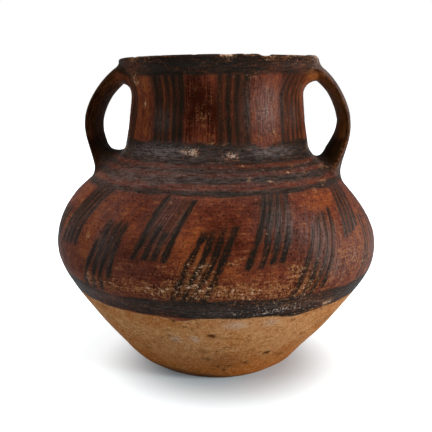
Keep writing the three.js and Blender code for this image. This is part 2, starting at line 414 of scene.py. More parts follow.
def strokesToPaint():
    # every stroke: its two ends, low level, high level, turn below, turn above, width, fanning, start of its stray
    draw = np.random.default_rng(paintwork["strokeSeed"])
    found = []
    for (low, high), below, above, feet, tops, width, _, _ in bundles:
        found += [(*ends, low, high, *slant, width, 0) for *ends, slant in zip(feet, tops, zip(below, above))]
    low, high = paintwork["neckLineLevels"]
    fan = paintwork["fan"]
    for first, last, width in paintwork["neckLines"]:
        fans = fan["from"] < first < fan["to"]
        top = fan["endLevel"] if fans else high
        found.append((low, top, low, top, first, last, width, fan["turn"] if fans else 0))
    return [stroke + (draw.uniform(0, fullTurn),) for stroke in found]


def paintDistance(turn, level):
    # distance in mm to the edge of the dark paint on the outside, more than 0 where it covers
    radius, lean = outline(np.minimum(level, lipLevel))
    slope = np.hypot(1, lean)
    most, apart = paintwork["farthest"], paintwork["bandApart"]
    found = np.full(np.shape(level), -float(most))
    for number, (low, high, uneven) in enumerate(paintwork["bands"]):
        edges = [uneven * waveHeight(edgeWaves, turn, apart * place) for place in (number, number + 0.5)]
        for band, edge, at, half, dip in paintwork["bandDips"]:
            if band == number:
                edges[edge] = edges[edge] - dip * bell(turn, at, half)
        found = np.maximum(found, np.minimum(level - low - edges[0], high + edges[1] - level) * slope)
    fan = paintwork["fan"]
    stray, slowness = paintwork["strokeStray"]
    swells = paintwork["strokeSwell"]
    for foot, top, low, high, first, last, width, spread, start in strokes:
        near = (level > foot - most) & (level < top + most)
        middle = first + (last - first) * (level - low) / (high - low) + stray * np.sin(level / slowness + start)
        middle = middle + spread * smooth(level, fan["startLevel"], fan["endLevel"])
        # strokes that lean past the middle of the back run together there
        across = np.abs(turnGap(turn, 0) - np.radians(middle))
        across = np.minimum(across, fullTurn - across) * radius
        tilt = np.radians(last - first) * radius / ((high - low) * slope)
        swell = sum(share * np.sin(level * rate + shift * start) for share, rate, shift in swells)
        ends = np.minimum(level - foot, top - level) * slope
        inside = np.minimum(width / 2 * (1 + swell) - across / np.hypot(1, tilt), ends)
        found = np.where(near, np.maximum(found, inside), found)
    return np.clip(found, -most, most)


def washStrength(turn, level):
    # where the paint has run together between the strokes of a bundle
    washes = [(*facts[:3], wash, start, max(facts[4])) for *facts, wash, start in bundles]
    levelsThere, start = paintwork["neckWashLevels"], paintwork["neckWashFrom"]
    washes += [(levelsThere, ends, ends, wash, start, levelsThere[1]) for *ends, wash in paintwork["neckWashes"]]
    radius = outline(np.minimum(level, lipLevel))[0]
    fadeIn, fadeOut = paintwork["washEnds"]
    total = np.zeros(np.shape(level))
    for (low, high), below, above, strength, start, stop in washes:
        share = (level - low) / (high - low)
        left, right = [below[i] + (above[i] - below[i]) * share for i in (0, -1)]
        inside = (np.radians(right - left) / 2 - np.abs(turnGap(turn, (left + right) / 2))) * radius
        ends = window(level, start, start + fadeIn, stop - fadeOut, stop)
        total = np.maximum(total, strength * smooth(inside, *paintwork["washSides"]) * ends)
    return total


bundles = paintwork["bundles"] + backBundles()
strokes = strokesToPaint()

# Soft patches where the finish differs: turn, level, half turn, half height, strength
finishPatches = {
    # rubbed or knocked away, and a few patches lightened as painted highlight
    "highlightAndWear": [
        (6, 76.5, 27, 6, 0.44), (10, 75, 16, 4.5, 0.22), (-8, 80, 8, 12, 0.35), (-38, 75, 9, 6, 0.3),
        (21, 66, 15, 5, 0.4), (40.5, 60.5, 3.2, 2.4, 1.2), (30, 75, 8, 7, 0.25), (28, 86, 6, 5, 0.3),
        (-17.5, 145.7, 3, 2.1, 1.3), (-12.2, 145.4, 2.8, 2.2, 1.5), (8.5, 143.4, 4.6, 2.1, 1.2),
        (3.6, 149.6, 1.5, 0.8, 1.2), (-3, 150.6, 3, 0.7, 1), (13.8, 138, 1, 0.9, 0.9), (15, 131.5, 1, 1.6, 0.9),
        (25.5, 129.8, 2, 0.9, 0.8), (37.5, 133.6, 1.6, 0.9, 0.9), (41, 131.2, 1.2, 0.8, 0.8),
        (43.4, 136.3, 1.4, 0.7, 1), (45.6, 123.4, 1.3, 1.2, 1), (49, 131.8, 1.4, 0.9, 0.8), (57, 127, 3, 1, 0.9),
        (75, 132.5, 8, 1.6, 0.7), (-46, 99, 1.2, 2, 1), (-50.6, 172.4, 1.1, 2.9, 1.5), (-58, 184.6, 4, 1.3, 0.8),
        (33, 175.6, 1.5, 0.8, 0.8), (26, 170, 3, 3, 0.2), (33, 160.5, 1.5, 1, 0.6), (36, 156.5, 1.5, 2, 0.6),
        (5.5, 200, 4.5, 2.4, 1.3), (16, 200, 3.5, 1.8, 0.9), (-54, 199, 5, 2, 0.8), (29, 199, 4, 2, 0.6),
        # (29, 168) here is a painted highlight on the neck's right
        (82, 198.5, 9, 5, 0.9), (140, 76, 30, 7, 0.5), (-22, 74, 12, 3.6, 0.45), (29, 168, 8, 14, 0.1),
        (80, 190, 9, 5, 0.4), (-60, 188, 5, 5, 0.6), (78, 195, 7, 4, 0.4), (79, 146, 6, 3, 1.1),
        # (52, 86) here is a painted highlight on the belly's right
        (84, 136, 5, 3, 1), (-78, 144, 6, 3, 1.1), (-66, 187, 6, 5, 0.2), (52, 86, 15, 9, 0.4),
        (-5.5, 88, 4, 8, 0.45), (24.5, 85, 2.5, 3, 0.5), (4.5, 91, 2, 2.4, 0.5), (-45.5, 76, 2.5, 4, 0.6),
        (50, 199.5, 26, 2.2, 0.7), (-42, 199.5, 9, 1.6, 0.6), (-150, 64, 14, 4, 0.5), (170, 145, 12, 4, 0.6),
        (-120, 96, 12, 12, 0.3), (115, 112, 12, 8, 0.3), (-63, 104, 8, 12, 0.25),
    ],
    # more than 0 is orange-brown, less is dark red
    "warmth": [
        (-54, 169, 11, 26, 0.6), (-48, 185, 6, 5, 0.5), (-4, 187, 5, 6, 0.7), (-12, 168, 9, 24, -1.2),
        (-2, 168, 5, 20, -0.6), (2, 99, 6, 8, -1.2), (-4, 97, 2.5, 8, 0.7), (-9, 88, 3, 6, 0.6),
        (-2, 115, 9, 7, -0.3), (79, 189, 9, 6, 1.8), (30, 190, 10, 4, 0.4), (66, 178, 12, 10, 0.8),
        (66, 150, 7, 5, 0.8), (38, 185, 6, 6, 0.5), (-62, 118, 12, 6, 0.6), (-47, 103, 6, 14, 0.9),
        (-9, 103, 7, 12, 0.7), (4, 98, 5, 12, 0.7), (-31, 92, 7, 12, -0.05), (-18, 84, 9, 7, -0.6),
        # (46, 92) here is partly a painted highlight on the belly's right
        (46, 92, 12, 16, 0.6), (52, 119, 9, 5, 0.9), (12, 118, 8, 5, -0.3), (25, 95, 6, 8, -0.3),
        (10, 82, 20, 6, 0.3), (140, 100, 25, 20, 0.6), (-140, 110, 25, 20, -0.5), (-42, 52, 13, 7, 0.9),
        (-18, 54, 9, 4, 0.7), (-28, 10, 30, 8, 0.7), (14, 6, 30, 8, 0.6), (46, 40, 5, 12, 0.8),
        (37.5, 26, 4.5, 7, 1.7), (47, 41, 6, 7, 0.8), (-50, 56, 16, 3, 0.7), (-45, 33, 8, 9, 0.8),
        (-24, 52.5, 10, 4, 1.4), (-54, 9, 12, 6, 1.3), (10, 47, 20, 6, -0.4), (120, 20, 30, 12, 0.7),
        (-140, 46, 26, 8, 0.6), (170, 168, 20, 20, 0.5), (100, 168, 16, 20, -0.5), (-40, 114, 9, 8, 0.4),
        (58, 98, 12, 14, 0.4), (0, 132, 80, 6, -0.45), (-9, 157, 5, 7, 0.7), (-27.8, 163, 1.6, 14, 0.7),
        (-34, 174, 1.8, 4, 0.7),
    ],
    # paint that was thin from the first
    "faint": [
        (1, 107.5, 7, 3.2, 0.8), (-35, 109, 6, 3, 0.5), (-48, 133, 34, 9, 0.7), (8, 136, 22, 4, 0.5),
        (50, 132, 20, 8, 0.3), (26, 113, 6, 8, 0.55), (39, 100, 7, 14, 0.75), (-57, 110, 9, 12, 0.3),
        (-35, 102, 5, 8, 0.3), (-15, 116, 3, 5, 0.4), (70, 90, 12, 16, 0.5), (60, 115, 8, 8, 0.35),
        (-60, 194, 18, 6, 0.75), (35, 193, 9, 6, 0.6), (-8, 190, 8, 3, 0.4), (52, 165, 12, 16, 0.2),
        (-33, 170, 6, 10, 0.35), (15, 158, 5, 8, 0.4), (66, 185, 12, 8, 0.5), (35, 64, 12, 6, 0.35),
        (-40, 64, 16, 6, 0.6), (47.8, 164, 1.8, 14, 0.7), (1.8, 168, 1.6, 20, 0.6), (-31, 176, 1.8, 9, 0.8),
        (120, 133, 30, 8, 0.4), (170, 105, 20, 20, 0.4), (60, 192, 12, 6, 0.7), (80, 190, 8, 5, 0.9),
        (-130, 100, 14, 16, 0.4), (-160, 168, 20, 16, 0.4), (110, 168, 14, 14, 0.4),
    ],
    # brown and black stains in the bare clay, and a painted contact shadow along its bottom edge at the front
    "stain": [
        (-2.5, 44.2, 1.5, 1, 2.8), (-1.8, 43, 0.7, 1, 1.6), (24.6, 25.7, 1.9, 1.4, 2.6),
        (-15.5, 55, 1, 1.8, 1.7), (-12, 50.8, 0.9, 0.7, 1.7), (-19, 47, 1, 0.7, 1.1), (-47, 54.5, 2, 1, 1.1),
        (-9.5, 48.6, 0.8, 0.8, 1), (-23, 39.5, 0.8, 0.8, 1), (3, 42.2, 1.7, 0.7, 0.8),
        (7.6, 41.8, 1.9, 0.7, 0.9), (-36, 26, 2.3, 1.5, 0.9), (-33, 31, 1.6, 1, 0.6), (0, 31, 0.6, 0.8, 1.8),
        (-6.4, 30.4, 2.6, 3, 0.6), (-5, 23, 2.5, 1.8, 0.8), (4, 26, 8, 5, 0.35), (1, 15.5, 1, 0.9, 1.1),
        (4.3, 12, 1, 1.2, 1.1), (7.5, 15.8, 2.2, 0.7, 1.1), (16, 18, 1.6, 1.5, 1.4), (27.8, 52.5, 1.2, 1, 1.1),
        (39, 37, 1.4, 1.2, 0.9), (50, 43, 5, 4, 0.5), (36, 21, 2, 2.5, 0.7), (40, 30, 3, 4, 0.35),
        # the first three here, at the lowest levels, are a painted contact shadow along the bottom edge
        (-34, 3, 20, 6, 2), (-8, 2, 14, 4.5, 1.7), (14, 1, 18, 2.6, 0.9), (2, 17, 11, 8, 0.5),
        (120, 30, 14, 10, 0.4), (-150, 35, 10, 12, 0.4), (-95, 20, 12, 8, 0.4), (175, 45, 9, 4, 0.5),
    ],
    # a thin grey film, chalky on the bare clay; on the slip and paint it is mostly painted sheen and painted
    # highlights
    "sheenAndFilm": [
        (-17, 39.5, 2.2, 2.6, 0.9), (-9, 41, 2, 2.6, 0.7), (5.9, 52.5, 4, 2.4, 0.9), (19.2, 53, 2.6, 2.2, 0.8),
        (100, 40, 9, 7, 0.5), (-125, 47, 8, 4, 0.6), (150, 22, 8, 5, 0.5), (-32, 145.5, 17, 4, 1.5),
        (84, 197, 9, 4, 1.3), (-76, 146, 7, 3, 1), (-58, 143, 14, 3, 0.4), (36, 144.6, 13, 2.6, 0.9),
        (22, 146, 6, 3, 0.5), (-36, 134, 24, 8, 0.6), (-35, 163, 7, 7, 0.5), (18.5, 170, 2, 10, 0.3),
        (30, 168, 11, 14, 0.55), (35, 100, 7, 14, 0.5), (24, 110, 6, 10, 0.5), (-20, 108, 7, 12, 0.3),
        (55, 104, 6, 6, 0.3), (53, 194, 18, 4, 0.3), (80, 199, 6, 2.5, 1), (55, 165, 5, 8, 0.4),
        (-57, 105, 6, 10, 0.2), (150, 140, 30, 8, 0.5), (-130, 150, 30, 8, 0.4), (0, 145, 60, 5, 0.4),
        (84, 138, 9, 10, 0.9), (-82, 139, 9, 10, 0.7), (-50, 194, 20, 6, 0.25), (0, 194, 30, 6, 0.15),
        (-15, 114, 6, 9, 0.3), (21, 111, 8, 10, 0.32), (38, 102, 6, 10, 0.4), (46, 95, 8, 12, 0.32),
        (40, 84, 5, 9, 0.4), (-38, 98, 6, 10, 0.4), (0, 131, 70, 8, 0.5), (50, 132, 20, 6, 0.1),
        (0, 61, 8, 3, 0.3), (66, 96, 14, 16, 0.5), (33, 170, 10, 14, 0.75), (-50, 64, 16, 6, 0.4),
        (55, 82, 14, 10, 0.4), (-48, 110, 6, 8, 0.2), (-56, 128, 12, 6, 0.3), (0, 64, 70, 6, 0.28),
        (-40, 115, 9, 8, 0.45), (-30, 84, 14, 9, 0.14), (16, 84, 10, 8, 0.1), (-48, 92, 20, 14, 0.16),
        (46, 92, 16, 16, 0.16),
    ],
    # crisp whitish flecks
    "flecks": [
        (21, 62.4, 17, 4.6, 1.1), (-14.5, 145.5, 5.8, 2.4, 2.2), (8, 143.4, 4.8, 2.1, 2.1),
        (4, 149.5, 4, 1.2, 1.1), (12, 188, 8, 1.6, 1.1), (22, 187, 4, 1.5, 1), (-76, 146, 7, 3, 1.2),
        (31, 168, 9, 12, 1.2), (-9, 163, 8, 12, 0.3), (0, 61.5, 50, 4, 0.5), (58, 195, 14, 5, 0.7),
        (80, 196, 9, 5, 1.7), (12, 197, 18, 3, 0.4), (-50, 197, 14, 3, 0.4), (54, 134, 12, 5, 0.9),
        (78, 143, 8, 4, 1.1), (-72, 143, 8, 3, 0.7), (-7, 84, 7, 8, 0.5), (26, 84, 5, 4, 1),
        (4, 91, 2.5, 2.5, 0.8), (-45, 75, 5, 5, 1.1), (20, 100, 12, 12, 0.25), (-52, 172, 2, 4, 0.6),
        (40, 76, 10, 6, 0.4), (-5, 160, 6, 10, 0.2), (-62, 100, 8, 10, 1), (62, 124, 14, 8, 0.35),
        (150, 90, 30, 20, 0.3), (-130, 120, 30, 20, 0.3), (120, 64, 14, 4, 1.1), (-165, 145, 20, 5, 0.5),
    ],
}

slipEdges = {
    "foot": 58.6,
    # where it shows below the black band: turn, level, half turn, half height, how much
    "runs": [(-28, 57, 24, 20, 1.9), (-13, 55, 4.5, 20, 2.4)],
    "inside": 176,
    "paintInside": 184,
    "bareInside": (183, 198),
    "patchesInside": 0.15,
}


def jarFinish():
    # the finish fields of every point of the jar's surface
    turn, level = np.broadcast_arrays(turns, rowLevels[:, None])
    outer = np.isin(rowKinds, ["foot", "outside", "crown"])[:, None]
    most = paintwork["farthest"]
    slipFoot = slipEdges["foot"] - patchSum(slipEdges["runs"], turn, level)
    slip = level - np.where(outer, slipFoot, slipEdges["inside"])
    paint = np.where(outer, paintDistance(turn, level), level - slipEdges["paintInside"])
    fields = {name: np.zeros(level.shape) for name in ("strap", "strapAlong", "strapOut", "umber")}
    fields["paint"], fields["slip"] = np.clip(paint, -most, most), np.clip(slip, -most, most)
    fields["wash"] = np.where(outer, washStrength(turn, level), 0)
    fields["inner"] = np.where(outer, 0, 1 - smooth(level, *slipEdges["bareInside"]))
    for name, patches in finishPatches.items():
        fields[name] = np.where(outer, patchSum(patches, turn, level), slipEdges["patchesInside"])
    return fields


jarFields = jarFinish()
print("painted pattern:", len(strokes), "strokes")


# Finishes

tree = None  # the node tree that is being built


def startNodes(owner):
    global tree
    owner.use_nodes = True
    tree = owner.node_tree
    tree.nodes.clear()


def node(kind, inputs=None, output=0, **settings):
    # makes a node and gives one of its outputs, or the node itself where output is None
    made = tree.nodes.new("ShaderNode" + kind)
    for key, value in settings.items():
        setattr(made, key, value)
    for key, value in (inputs or {}).items():
        socket = made.inputs[key]
        if isinstance(value, bpy.types.NodeSocket):
            tree.links.new(value, socket)
        else:
            socket.default_value = (*value, 1) if socket.type == "RGBA" else value
    return made if output is None else made.outputs[output]


def chain(operation, *values):
    result = values[0]
    for value in values[1:]:
        result = node("Math", {0: result, 1: value}, operation=operation)
    return result


def times(*values):
    return chain("MULTIPLY", *values)


def plus(*values):
    return chain("ADD", *values)


def weighed(*pairs, start=0.0):
    # start, and each value times its weight, added up
    for value, weight in pairs:
        start = node("Math", {0: value, 1: weight, 2: start}, operation="MULTIPLY_ADD")
    return start


def blend(amount, under, over):
    return weighed((chain("SUBTRACT", over, under), amount), start=under)


def fade(value, low, high, start=0.0, end=1.0):
    inputs = {"Value": value, "From Min": low, "From Max": high, "To Min": start, "To Max": end}
    return node("MapRange", inputs, interpolation_type="SMOOTHSTEP")


def sway(noise, size):
    return fade(noise, 0.3, 0.7, -size, size)


def tint(amount, under, over):
    return node("Mix", {0: amount, 6: under, 7: over}, 2, data_type="RGBA")


def coats(colour, finish, *layers):
    # colours of a finish laid over one another, each by its own amount
    for amount, over in layers:
        colour = tint(amount, colour, finish[over])
    return colour


def speckle(place, size, detail=3, roughness=0.55, stretch=(1, 1, 1), shift=0):
    # noise whose patches are about size mm across, or longer where stretch says so
    scale = [1 / (size * s) for s in stretch]
    spread = node("Mapping", {"Vector": place, "Location": (shift,) * 3, "Scale": scale})
    return node("TexNoise", {"Vector": spread, "Scale": 1, "Detail": detail, "Roughness": roughness})


def field(name):
    return node("Attribute", None, "Fac", attribute_name=name)


clayFinish = {
    "clay": (0.345, 0.147, 0.053),
    "clayPale": (0.5, 0.278, 0.125),
    "clayOrange": (0.29, 0.095, 0.022),
    "clayBrown": (0.165, 0.062, 0.017),
    "clayFoot": (0.325, 0.084, 0.0055),
    # dark brown of smudges, and of the painted contact shadow
    "shadowAndClaySmudge": (0.062, 0.02, 0.0045),
    "clayInside": (0.13, 0.06, 0.027),
    "chalk": (0.36, 0.3, 0.26),
    "clayRoughness": 0.85,
    "shine": 0.03,
    "bump": 0.7,
    "girth": 84,  # radius in mm that the streaks are drawn at
    "slant": 0.29,  # degrees to a mm of height
}
slipFinish = {
    "deep": (0.021, 0.0037, 0.0013),
    "red": (0.088, 0.019, 0.0088),
    "orange": (0.192, 0.047, 0.0125),
    "worn": (0.24, 0.1, 0.036),
    "umber": (0.16, 0.066, 0.017),
    "umberDark": (0.015, 0.0055, 0.0015),
    "roughness": 0.48,
    "shine": 0.008,
}
paintFinish = {
    "black": (0.0085, 0.0062, 0.0045),
    "brown": (0.027, 0.012, 0.0045),
    "wash": (0.034, 0.012, 0.007),
    # the colour of the painted sheen and grey film
    "sheenAndFilm": (0.165, 0.127, 0.118),
    "scar": (0.48, 0.31, 0.21),
    "fleck": (0.47, 0.36, 0.3),
    "roughness": 0.5,
    "shine": 0.004,
}


def firedClay(name, shine):
    # bare clay, slip over it, dark paint over that, each worn where the fields say
    material = bpy.data.materials.new(name)
    startNodes(material)
    place = node("VectorMath", {0: node("TexCoord", output="Object"), "Scale": 1 / toMetres}, operation="SCALE")
    across, height = [node("SeparateXYZ", {0: place}, axis) for axis in (1, 2)]
    # the same place with its distance from the axis taken out, so that streaks run round the jar or up it
    flat = node("VectorMath", {0: place, 1: (1, 1, 0)}, operation="MULTIPLY")
    way = node("VectorMath", {0: flat}, operation="NORMALIZE")
    turned = node("VectorMath", {0: way, "Scale": clayFinish["girth"]}, operation="SCALE")
    upward = node("CombineXYZ", {2: height})
    wrapped = node("VectorMath", {0: turned, 1: upward}, operation="ADD")
    # with the slant of the painted bundles
    slant = times(height, -math.radians(clayFinish["slant"]))
    leaning = node("VectorRotate", {"Vector": turned, "Angle": slant}, rotation_type="Z_AXIS")
    leaning = node("VectorMath", {0: leaning, 1: upward}, operation="ADD")
    # and along the bend of a strap
    bent = node("CombineXYZ", {0: across, 1: field("strapOut"), 2: field("strapAlong")})

    broad = speckle(place, 26, 3, 0.5)
    middling = speckle(place, 6, 4, 0.6, shift=13)
    fine = speckle(place, 1.9, 4, 0.7, shift=5)
    grain = weighed((speckle(place, 0.95, 3, 0.75, shift=31), 0.5), (fine, 0.5))
    onBundles = times(fade(height, 126, 121), fade(height, 68, 72))
    strap = field("strap")
    onNeck = chain("MAXIMUM", times(fade(height, 148, 153), fade(height, 192, 185)), strap)
    level, upright = speckle(wrapped, 0.85, 3, 0.65, (9, 9, 1), 8), speckle(wrapped, 0.9, 3, 0.65, (1, 1, 9), 21)
    scratches = blend(strap, blend(onNeck, level, upright), speckle(bent, 0.9, 4, 0.7, (1, 1, 4), 85))
    level, upright = speckle(wrapped, 1.1, 4, 0.7, (13, 13, 1)), speckle(wrapped, 1.3, 4, 0.65, (1, 1, 15), 3)
    streaks = blend(strap, blend(onNeck, level, upright), speckle(bent, 1.5, 4, 0.7, (1, 1, 7), 77))
    slanting = speckle(leaning, 0.85, 3, 0.6, (1, 1, 16), 51)
    drawn, hairs = blend(onBundles, streaks, slanting), blend(onBundles, scratches, slanting)

    highlightAndWear, sheenAndFilm, stain, faint = [field(key) for key in ("highlightAndWear", "sheenAndFilm", "stain", "faint")]
    slipCover = fade(plus(field("slip"), sway(fine, 0.4)), -0.3, 0.3)

    # clay: buff, with orange and brown clouds, finely speckled, browner towards the foot
    orange = weighed((field("warmth"), 0.6), start=fade(broad, 0.38, 0.66, 0, 0.75))
    blots = times(fade(speckle(place, 8, 5, 0.7, shift=57), 0.5, 0.64), fade(grain, 0.54, 0.42), 0.55)
    dots = fade(speckle(place, 1.5, 2, 0.5, shift=71), 0.68, 0.74, 0, 0.7)
    clay = coats(
        clayFinish["clay"], clayFinish,
        (fade(orange, 0, 1), "clayOrange"),
        (fade(middling, 0.45, 0.75, 0, 0.5), "clayPale"),
        (fade(height, 34, 2, 0, 0.85), "clayFoot"),
        (fade(grain, 0.5, 0.64, 0, 0.75), "clayPale"),
        (fade(grain, 0.5, 0.37, 0, 0.75), "clayBrown"),
        (fade(scratches, 0.56, 0.72, 0, 0.5), "clayBrown"),
        (blots, "shadowAndClaySmudge"),
        (dots, "shadowAndClaySmudge"),
        # stains, and the painted contact shadow along the bottom edge
        (times(stain, fade(grain, 0.62, 0.4, 0.5, 1.2)), "clayBrown"),
        (times(fade(stain, 0.3, 2), fade(grain, 0.62, 0.4, 0.4, 1.1)), "shadowAndClaySmudge"),
        (times(sheenAndFilm, fade(grain, 0.42, 0.6, 0.1, 0.8)), "chalk"),
        (times(field("inner"), 0.8), "clayInside"),
    )

    # slip: dark red to orange-brown, streaked by brush and pebble, rubbed thin and grainy where it is worn, and
    # lightened the same way in the patches of painted highlight
    brush = times(sway(streaks, 0.4), fade(onNeck, 0, 1, 1, 1.9))
    grained = times(fade(grain, 0.35, 0.65, -0.85, 0.85), fade(highlightAndWear, 0, 0.5, 0.55, 1), fade(onNeck, 0, 1, 1, 0.5))
    warmth = plus(field("warmth"), sway(broad, 0.35), sway(middling, 0.35), brush, grained)
    grainy = times(sway(grain, 0.9), fade(highlightAndWear, 0, 0.6, 0.45, 1.4))
    thinness = plus(highlightAndWear, sway(middling, 0.25), sway(scratches, 0.4), grainy)
    spots = times(fade(speckle(place, 2.1, 3, 0.6, shift=91), 0.6, 0.7, 0, 0.5), fade(warmth, -1.6, 0))
    slip = coats(
        slipFinish["deep"], slipFinish,
        (fade(warmth, -1.5, 0.3), "red"),
        (fade(warmth, -0.1, 1.5), "orange"),
        (fade(thinness, 0.25, 1.05, 0, 0.85), "worn"),
        (spots, "orange"),
    )
    umber = tint(fade(warmth, -1.6, 1.4), slipFinish["umberDark"], slipFinish["umber"])
    colour = tint(slipCover, clay, tint(field("umber"), slip, umber))

    # dark paint: ragged edges, broken up by the grain below, run together and drawn out by the brush in places
    washCover = times(field("wash"), fade(grain, 0.64, 0.44, 0.65, 1), fade(drawn, 0.62, 0.42, 0.45, 1.1))
    brushed = times(sway(streaks, 0.8), fade(height, 122, 128))
    paintEdge = plus(field("paint"), fade(grain, 0.34, 0.66, -0.6, 0.6), brushed, sway(middling, 0.35))
    halo = times(fade(paintEdge, -1.5, 0, 0, 0.4), slipCover)
    colour = coats(colour, paintFinish, (washCover, "wash"), (halo, "brown"))
    gaps = plus(fade(grain, 0.34, 0.66), fade(drawn, 0.35, 0.68, 0, 0.6))
    gaps = weighed((highlightAndWear, 0.65), (faint, 0.4), start=gaps)
    thin = times(fade(gaps, 1, 1.4, 1, 0.2), fade(faint, 0, 1, 1, 0.45))
    softness = fade(onNeck, 0, 1, 0.25, 0.9)
    paintCover = times(fade(chain("DIVIDE", paintEdge, softness), -1, 1), thin)
    browned = times(fade(streaks, 0.4, 0.7, 0, 0.6), fade(height, 90, 125, 0.5, 1))
    paint = tint(weighed((strap, 0.8), start=browned), paintFinish["black"], paintFinish["brown"])
    colour = tint(paintCover, colour, paint)

    # painted sheen and highlights with the grey film, then flecks where slip and paint are lost down to the pale
    # clay
    sheenAndFilmCover = times(sheenAndFilm, fade(hairs, 0.36, 0.62, 0.1, 0.46), fade(grain, 0.36, 0.6, 0.7, 1.3), slipCover)
    dust = (speckle(wrapped, 0.8, 2, 0.6, (1.3, 1.3, 1), 63), 0.75)
    dust = fade(weighed((scratches, 0.25), dust, (field("flecks"), 0.1)), 0.7, 0.75, 0, 0.75)
    flecks = speckle(wrapped, 1.2, 4, 0.75, (1.9, 1.9, 1), 44)
    lost = weighed((flecks, 0.45), (fine, 0.4), (scratches, 0.15), (highlightAndWear, 0.12))
    lost = times(fade(lost, 0.62, 0.665, 0, 0.85), fade(field("slip"), 0, 1))
    darkDots = fade(speckle(place, 1.5, 2, 0.5, shift=17), 0.6, 0.68, 0, 0.7)
    colour = coats(
        colour, paintFinish, (sheenAndFilmCover, "sheenAndFilm"), (times(dust, slipCover), "fleck"), (lost, "scar"),
        (times(darkDots, slipCover), "black"),
    )

    # surface: fine grain everywhere, brush and scraper marks, losses that sit lower
    heights = weighed(
        (grain, 0.55), (streaks, 0.3), (scratches, 0.2), (middling, 0.5), (slipCover, 0.12), (paintCover, 0.1),
        (lost, -0.3), (dots, -0.3),
    )
    bump = node("Bump", {"Height": heights, "Strength": clayFinish["bump"], "Distance": 0.5 * toMetres})
    matt = blend(slipCover, clayFinish["clayRoughness"], slipFinish["roughness"])
    matt = plus(blend(paintCover, matt, paintFinish["roughness"]), fade(fine, 0.25, 0.75, -0.08, 0.1))
    shader = node("BsdfPrincipled", {
        "Base Color": colour, "Roughness": weighed((strap, 0.15), (lost, 0.25), start=matt), "Normal": bump,
        "Specular IOR Level": shine,
    })
    node("OutputMaterial", {0: shader}, None)
    return material


bareClay = firedClay("bareClay", clayFinish["shine"])
redSlip = firedClay("redSlip", slipFinish["shine"])
darkSlip = firedClay("darkSlip", paintFinish["shine"])


def addObject(name, data):
    made = bpy.data.objects.new(name, data)
    scene.collection.objects.link(made)
    return made


def makePiece(name, points, normals, faces, fields, material, replaced, slotName):
    mesh = bpy.data.meshes.new(name)
    mesh.from_pydata((points.reshape(-1, 3) * toMetres).tolist(), [], faces)
    for key, values in fields.items():
        attribute = mesh.attributes.new(key, "FLOAT", "POINT")
        attribute.data.foreach_set("value", np.asarray(values, np.float32).ravel())
    mesh.shade_smooth()
    mesh.normals_split_custom_set_from_vertices(normals.reshape(-1, 3).tolist())
    mesh.materials.append(material)
    piece = addObject(name, mesh)
    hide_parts(replaced)
    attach(piece, "root")
    print(name, len(faces), "faces")


def gridFaces(rows, width, closed=False):
    # quads of a grid that closes from column to column, and from the last row to the first where closed
    faces = []
    for row in range(rows if closed else rows - 1):
        low, high = row * width, (row + 1) % rows * width
        faces += [(low + i, low + (i + 1) % width, high + (i + 1) % width, high + i) for i in range(width)]
    return faces


def cappedPiece(name, points, normals, fields, centres, ways, *labels):
    # a grid whose first and last rows are each closed by a fan round a centre, with the ways that the fans face
    rows, width = points.shape[:2]
    count = rows * width
    faces = gridFaces(rows, width)
    faces += [((i + 1) % width, i, count) for i in range(width)]
    faces += [(count - width + i, count - width + (i + 1) % width, count + 1) for i in range(width)]
    fields = {key: np.append(values, [values.flat[0], values.flat[-1]]) for key, values in fields.items()}
    points, normals = np.vstack([points.reshape(-1, 3), centres]), np.vstack([normals.reshape(-1, 3), ways])
    makePiece(name, points, normals, faces, fields, *labels)


def finishOf(rows):
    return {key: values[rows] for key, values in jarFields.items()}


# the slab that the jar stands on: its underside, its side and the floor inside
rows = rowsOf("foot") + rowsOf("outside", 0, floorLevel)
rows += rowsOf("inside", floorLevel, floorLevel) + rowsOf("floor")
centres = [[0, 0, 0], [0, 0, floorEdge[0, 2] + ringSize]]
cappedPiece("base_slab", jarRows[rows], jarNormals[rows], finishOf(rows), centres, [[0, 0, -1], [0, 0, 1]],
            bareClay, "base_disc", "bare_clay")

# and the rings of the wall, each closed across its joint faces
wallPieces = [
    ("bare_lower_wall", bareClay, "lower_wall", "bare_clay"),
    ("painted_belly", redSlip, "belly_wall", "red_slip"),
    ("painted_shoulder", redSlip, "shoulder_wall", "red_slip"),
    ("painted_neck", redSlip, "neck_collar", "red_slip"),
    ("dark_rim", darkSlip, "rim_coil", "dark_slip"),
]
for (name, *labels), low, high in zip(wallPieces, pieceLevels[1:], pieceLevels[2:]):
    crown = rowsOf("crown") if high == lipLevel else []
    rows = rowsOf("outside", low, high) + crown + rowsOf("inside", low, high)
    faces = gridFaces(len(rows), columns, closed=True)
    makePiece(name, jarRows[rows], jarNormals[rows], faces, finishOf(rows), *labels)

# Strap handles, with the sizes that the solids have

handleShape = {
    "fingerGap": 25,
    "width": 32,
    "thickness": 7,
    "edgeFullness": 0.97,  # under 1 fills out the strap's section
    "topDrop": 4.5,
    "reachRise": 12,
    "footDrop": 21.5,
    "upperBendPull": 18.5,
    "lowerBendPull": 11,
    "lowerEndPull": 16,
    "upperRoot": {"length": 13.15, "width": 40, "thickness": 13},
    "lowerRoot": {"length": 20.15, "width": 42, "thickness": 21},
    "aroundSteps": 96,
    "strapRows": 78,
    "rootRows": 22,
    "filletRows": 12,
    "beyond": 9,  # how far the line of a handle is carried on into the wall
    "wallFrom": (100, 180),  # the wall that a handle can meet starts at these levels, outside and inside
    "rootSamples": 46,
    "spreadMost": 1.25,
    "leastRise": 0.3,
    "sink": 0.12,  # how far the edge of a fillet goes under the wall's surface
    "endSink": 0.985,  # draws the middle of a root's end into the wall
    "beats": 9,
    "beatSize": 0.075,
    "outSize": 4,  # mm from the neck side to the outside, as the streaks are drawn
}
